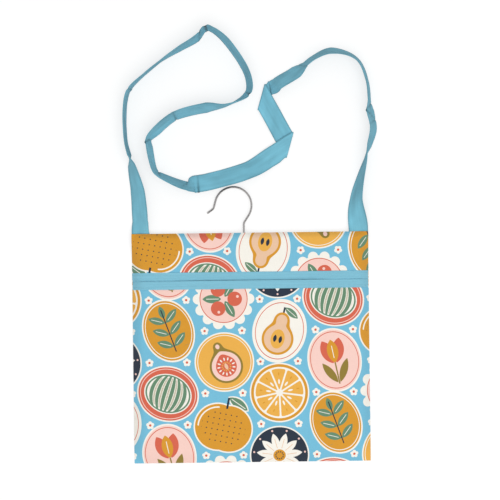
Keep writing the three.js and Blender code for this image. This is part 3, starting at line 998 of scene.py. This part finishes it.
def speckled_fruit(cloth, x, y):
    body = length(abs(x) - 8, y + 4) - 33
    speck = length(x.math("WRAP", 4, -4), y.math("WRAP", 4, -4)) - 0.9
    stalk_leaf = turned(x - 15, y - 34, 66)
    cloth.paint(leaf(*stalk_leaf, 36, 17), CREAM)
    cloth.paint(leaf(*stalk_leaf, 32, 13), SAGE)
    cloth.paint(bar(*stalk_leaf, 0.5, 12), CREAM)
    cloth.paint(body - OUTLINE, CREAM)
    cloth.paint(body, MUSTARD)
    cloth.paint(both(speck, body + 9), NAVY)
    cloth.paint(both(abs(body + 4.5) - 1, length(x + 32, y - 15) - 23), CREAM)
    cloth.paint(bar(x, y - 32, 1.5, 8), NAVY)


def berry_badge(cloth, x, y):
    radius = length(x, y)
    along, across = wedge(x, y, 14)
    berry_along, berry_across = wedge(x, y, 3)
    leaf_along, leaf_across = wedge(*turned(x, y, 60), 3)
    cloth.paint((radius - 38).math("MINIMUM", length(along - 37, across) - 7.4), CREAM)
    cloth.paint(radius - 34, PINK)
    cloth.paint(abs(radius - 34) - 0.6, CORAL)
    cloth.paint(leaf(leaf_across, leaf_along - 17, 27, 12), SAGE)
    cloth.paint(bar(leaf_across, leaf_along - 16, 0.45, 9), CREAM)
    cloth.paint(length(berry_along - 16, berry_across) - 10.5, CORAL)
    cloth.paint(length(berry_along - 20, berry_across - 3.4) - 2, PINK)


def striped_melon(cloth, x, y):
    body = oval(x, y, 33, 27)
    bulge = (1 - y * y * (1 / 30**2)).math("MAXIMUM", 0.05).math("SQRT")
    stripe = abs(x.math("DIVIDE", bulge).math("WRAP", 4.8, -4.8)) - 2.1
    plate(cloth, oval(x, y, 43, 38), CORAL, PINK)
    cloth.paint(body - 1.4, CREAM)
    cloth.paint(body, SAGE)
    cloth.paint(both(stripe, body + 2), CREAM)
    cloth.paint(both(abs(stripe + 1.5) - 0.3, body + 4), OLIVE)


def small_blossom(cloth, x, y):
    along, across = wedge(x, y, 5)
    cloth.paint(length(along - 3.4, across) - 2.5, CREAM)
    cloth.paint(length(x, y) - 1.8, CORAL)


# Each motif with its place in the repeat and its turn.
MOTIFS = [
    (citrus_slice, (0, 0), 12),
    (pear_half, (1, 89), -14),
    (daisy_badge, (-1, 179), 8),
    (tulip_badge, (80, 46), 12),
    (striped_melon, (79, 135), -18),
    (leaf_sprig, (81, 226), 20),
    (berry_badge, (161, 1), 0),
    (speckled_fruit, (159, 89), -12),
    (fig_half, (161, 180), 24),
]
BLOSSOM_PLACES = [(53, 0), (27, 45)]
BLOSSOM_TURN = 20


def new_material(name, roughness):
    material = bpy.data.materials.new(name)
    material.use_nodes = True
    tree = material.node_tree
    shader = tree.nodes["Principled BSDF"]
    shader.inputs["Roughness"].default_value = roughness
    return material, tree, shader


def noise_field(tree, place, scale, detail):
    """Noise from 0 to 1 at a place, stretched by a scale for each axis."""
    stretch = tree.nodes.new("ShaderNodeMapping")
    feed(tree, stretch.inputs["Vector"], place)
    feed(tree, stretch.inputs["Scale"], scale)
    texture = tree.nodes.new("ShaderNodeTexNoise")
    feed(tree, texture.inputs["Vector"], stretch.outputs[0])
    feed(tree, texture.inputs["Scale"], 1)
    feed(tree, texture.inputs["Detail"], detail)
    return Field(tree, texture.outputs[0])


def across_and_along(tree, place):
    """The two parts of a place on a UV map."""
    parts = tree.nodes.new("ShaderNodeSeparateXYZ")
    feed(tree, parts.inputs[0], place)
    return [Field(tree, parts.outputs[k]) for k in (0, 1)]


def raise_surface(tree, shader, height, strength, depth):
    bump = tree.nodes.new("ShaderNodeBump")
    feed(tree, bump.inputs["Strength"], strength)
    feed(tree, bump.inputs["Distance"], depth)
    feed(tree, bump.inputs["Height"], height)
    feed(tree, shader.inputs["Normal"], bump.outputs[0])


# Scales of the noise in each finish, to the metre across it and along it.
THREADS = 2100
SLUBS = (1500, 120, 1)
CROSS_SLUBS = (120, 1500, 1)
WEAR = (26, 26, 1)
STRAP_STREAKS = (190, 9, 1)
STRAP_PATCHES = (60, 32, 1)
TAPE_STREAKS = (6, 420, 1)
WIRE_MARKS = (120, 120, 120)
BEECH_GRAIN = (14, 420, 420)
BEECH_FLECKS = (160, 1600, 1600)

# How that noise shades a colour: its strength, and for the first of each finish the shade where it is 0.
SLUB_SHADE = (0.09, 0.885)
WEAR_SHADE = 0.06
STREAK_SHADE = (0.35, 0.575)
PATCH_SHADE = 0.5
TAPE_SHADE = (0.4, 0.8)
WIRE_SHADE = (0.2, 0.86)
WIRE_ROUGHNESS = (0.12, 0.2)
GRAIN_SHADE = (0.35, 0.73)
FLECK_SHADE = 0.18

COTTON_SHEEN = 0.12
COTTON_SHEEN_ROUGHNESS = 0.6
COTTON_GLOSS = 0.18
WEAVE_HEIGHT = 0.5  # against the height of the slubs
SHOW_THROUGH = 0.35  # of the inks on the cloth's reverse


def cotton(name, colour_of, roughness):
    """Plain-woven cotton on its UV map in metres. Colour_of gives the colour from the tree and the place; the
    strap's has painted shade in it.
    """
    material, tree, shader = new_material(name, roughness)
    shader.inputs["Sheen Weight"].default_value = COTTON_SHEEN
    shader.inputs["Sheen Roughness"].default_value = COTTON_SHEEN_ROUGHNESS
    shader.inputs["Specular IOR Level"].default_value = COTTON_GLOSS
    uv = tree.nodes.new("ShaderNodeUVMap")
    uv.uv_map = "cut"
    place = uv.outputs[0]
    warp, weft = (part * (math.pi * THREADS) for part in across_and_along(tree, place))
    weave = warp.math("SINE") * weft.math("SINE")
    slub = noise_field(tree, place, SLUBS, detail=2) + noise_field(tree, place, CROSS_SLUBS, detail=2)
    wear = noise_field(tree, place, WEAR, detail=4)
    shade = slub.math("MULTIPLY_ADD", *SLUB_SHADE) + (wear - 0.5) * WEAR_SHADE
    feed(tree, shader.inputs["Base Color"], tint(tree, colour_of(tree, place), shade))
    raise_surface(tree, shader, weave * WEAVE_HEIGHT + slub, strength=0.35, depth=0.00018)
    return material


def strap_dye_and_painted_shade(tree, place):
    """Plain blue in long faint streaks and soft patches, with shade painted in the creases and along the
    turned edges.
    """
    crease = tree.nodes.new("ShaderNodeAttribute")
    crease.attribute_name = "crease"
    # Painted shade along the turned edges: full at the edge, fading out within about the width of a turned
    # edge.
    from_edge = STRAP_WIDTH / 2 - abs(across_and_along(tree, place)[0])
    edge = from_edge.math("MULTIPLY_ADD", -1 / EDGE_TURN, 1.5, clamp=True)
    streak = noise_field(tree, place, STRAP_STREAKS, detail=3)
    patch = noise_field(tree, place, STRAP_PATCHES, detail=1)
    shade = streak.math("MULTIPLY_ADD", *STREAK_SHADE) + patch * PATCH_SHADE
    # Painted shade: the colour is darkened in the creases, and along the turned edges by the mask above.
    dark = Field(tree, crease.outputs["Fac"]) * CREASE_PAINTED_SHADE + edge * EDGE_PAINTED_SHADE
    return tint(tree, PLAIN_BLUE, shade - dark)


def tape_dye(tree, place):
    """Plain blue in faint streaks along the tape."""
    streak = noise_field(tree, place, TAPE_STREAKS, detail=3)
    return tint(tree, TAPE_BLUE, streak.math("MULTIPLY_ADD", *TAPE_SHADE))


def thread_dye(tree, place):
    """The same blue all along the thread."""
    return THREAD_BLUE


def fruit_print(tree, place):
    cloth = ClothPrint(tree, place)
    for centre in BLOSSOM_PLACES:
        small_blossom(cloth, *cloth.around(centre, BLOSSOM_TURN, SMALL_REPEAT))
    for motif, centre, turn in MOTIFS:
        motif(cloth, *cloth.around(centre, turn))
    return cloth.colour


def print_reverse(tree, place):
    """The cloth's back, where the inks only show through."""
    return cover(tree, SHOW_THROUGH, REVERSE_WHITE, fruit_print(tree, place))


def steel_wire():
    material, tree, shader = new_material("steel_wire", roughness=0.22)
    shader.inputs["Metallic"].default_value = 1
    place = tree.nodes.new("ShaderNodeTexCoord").outputs["Object"]
    drawn = noise_field(tree, place, WIRE_MARKS, detail=3)
    shade = drawn.math("MULTIPLY_ADD", *WIRE_SHADE)
    feed(tree, shader.inputs["Base Color"], tint(tree, WIRE_GREY, shade))
    feed(tree, shader.inputs["Roughness"], drawn.math("MULTIPLY_ADD", *WIRE_ROUGHNESS))
    return material


def beech():
    material, tree, shader = new_material("beech", roughness=0.55)
    place = tree.nodes.new("ShaderNodeTexCoord").outputs["Object"]
    grain = noise_field(tree, place, BEECH_GRAIN, detail=4)
    fleck = noise_field(tree, place, BEECH_FLECKS, detail=2)
    shade = grain.math("MULTIPLY_ADD", *GRAIN_SHADE) + fleck * FLECK_SHADE
    feed(tree, shader.inputs["Base Color"], tint(tree, BEECH, shade))
    raise_surface(tree, shader, grain, strength=0.2, depth=0.0002)
    return material


# Studio

WORLD_LIGHT = 0.6
FLOOR_SIZE = (24, 24)
FLOOR_PLACE = (0, VIEW_MIDDLE_Y, -0.0002)  # just under the cloth
FLOOR_SHADE = 0.4
FLOOR_GLOW = 0.65
LAMP_POWER = 18.5
LAMP_SIZE = 1.8
LAMP_PLACE = (0.25, -0.35, 1.8)
CARD_SIZE = (0.8, 12)  # a dark card above the bag, which only the wire's polish shows
CARD_PLACE = (-0.03, 0.2, 1.4)
CARD_TURN = 15
CARD_SHADE = 0.01
WHITE = (1, 1, 1, 1)


def seen_directly(tree):
    """1 for rays from the camera, a mirror or glass, and otherwise 0."""
    path = tree.nodes.new("ShaderNodeLightPath")
    camera, glossy, glass = (
        Field(tree, path.outputs[f"Is {ray} Ray"]) for ray in ("Camera", "Glossy", "Transmission"))
    return camera.math("MAXIMUM", glossy).math("MAXIMUM", glass)


def stage_plane(name, size, place, material, turn=0):
    """A level plane of the studio, which isn't part of the object."""
    deselect()
    bpy.ops.mesh.primitive_plane_add(size=1)
    plane = bpy.context.object
    plane.name = name
    plane.scale = (*size, 1)
    plane.location = place
    plane.rotation_euler = (0, 0, math.radians(turn))
    bpy.ops.object.transform_apply(location=True, rotation=True, scale=True)
    plane.data.materials.append(material)
    return plane


def floor_paper():
    material, tree, shader = new_material("floor_paper", roughness=0.95)
    shader.inputs["Base Color"].default_value = (FLOOR_SHADE, FLOOR_SHADE, FLOOR_SHADE, 1)
    shader.inputs["Specular IOR Level"].default_value = 0
    shader.inputs["Emission Color"].default_value = WHITE
    feed(tree, shader.inputs["Emission Strength"], seen_directly(tree) * FLOOR_GLOW)
    return material


def card_black():
    material, _, shader = new_material("card_black", roughness=1)
    shader.inputs["Base Color"].default_value = (CARD_SHADE, CARD_SHADE, CARD_SHADE, 1)
    return material


def soft_light():
    world = bpy.data.worlds.new("studio")
    world.use_nodes = True
    tree = world.node_tree
    background = tree.nodes["Background"]
    background.inputs["Color"].default_value = WHITE
    feed(tree, background.inputs["Strength"], seen_directly(tree) * (1 - WORLD_LIGHT) + WORLD_LIGHT)
    bpy.context.scene.world = world
    bpy.ops.object.light_add(type="AREA", location=LAMP_PLACE)
    lamp = bpy.context.object
    lamp.data.energy = LAMP_POWER
    lamp.data.size = LAMP_SIZE
    lamp.visible_glossy = False
    aim = Vector((0, VIEW_MIDDLE_Y, 0)) - Vector(LAMP_PLACE)
    lamp.rotation_euler = aim.to_track_quat("-Z", "Y").to_euler()


def studio():
    stage_plane("floor", FLOOR_SIZE, FLOOR_PLACE, floor_paper())
    card = stage_plane("dark_card", CARD_SIZE, CARD_PLACE, card_black(), CARD_TURN)
    card.visible_camera = False
    card.visible_diffuse = False
    card.visible_shadow = False
    soft_light()
    bpy.context.scene.view_settings.view_transform = "Standard"


overhead_camera()
shoulder_strap(cotton("strap_cotton", strap_dye_and_painted_shade, roughness=0.88))
printed = cotton("printed_cotton", fruit_print, roughness=0.9)
reverse = cotton("printed_cotton_reverse", print_reverse, roughness=0.92)
bag_panels(printed, reverse)
thread = cotton("sewing_thread", thread_dye, roughness=0.7)
tape = cotton("tape_cotton", tape_dye, roughness=0.88)
lip_tape("upper_lip_tape", "upper_lip_binding", "yoke_cloth", *LIPS[0], tape)
lip_tape("lower_lip_tape", "lower_lip_binding", "pouch_cloth", *LIPS[1], tape)
stitches(thread)
steel = steel_wire()
dress(smooth_copy("hook", "hook_wire"), "hook", "steel_wire", steel)
dress(smooth_copy("hook_washer", "washer_ring"), "hanger", "steel_wire", steel)
dress(smooth_copy("hanger_bar", "beech_bar"), "hanger", "beech", beech())
studio()
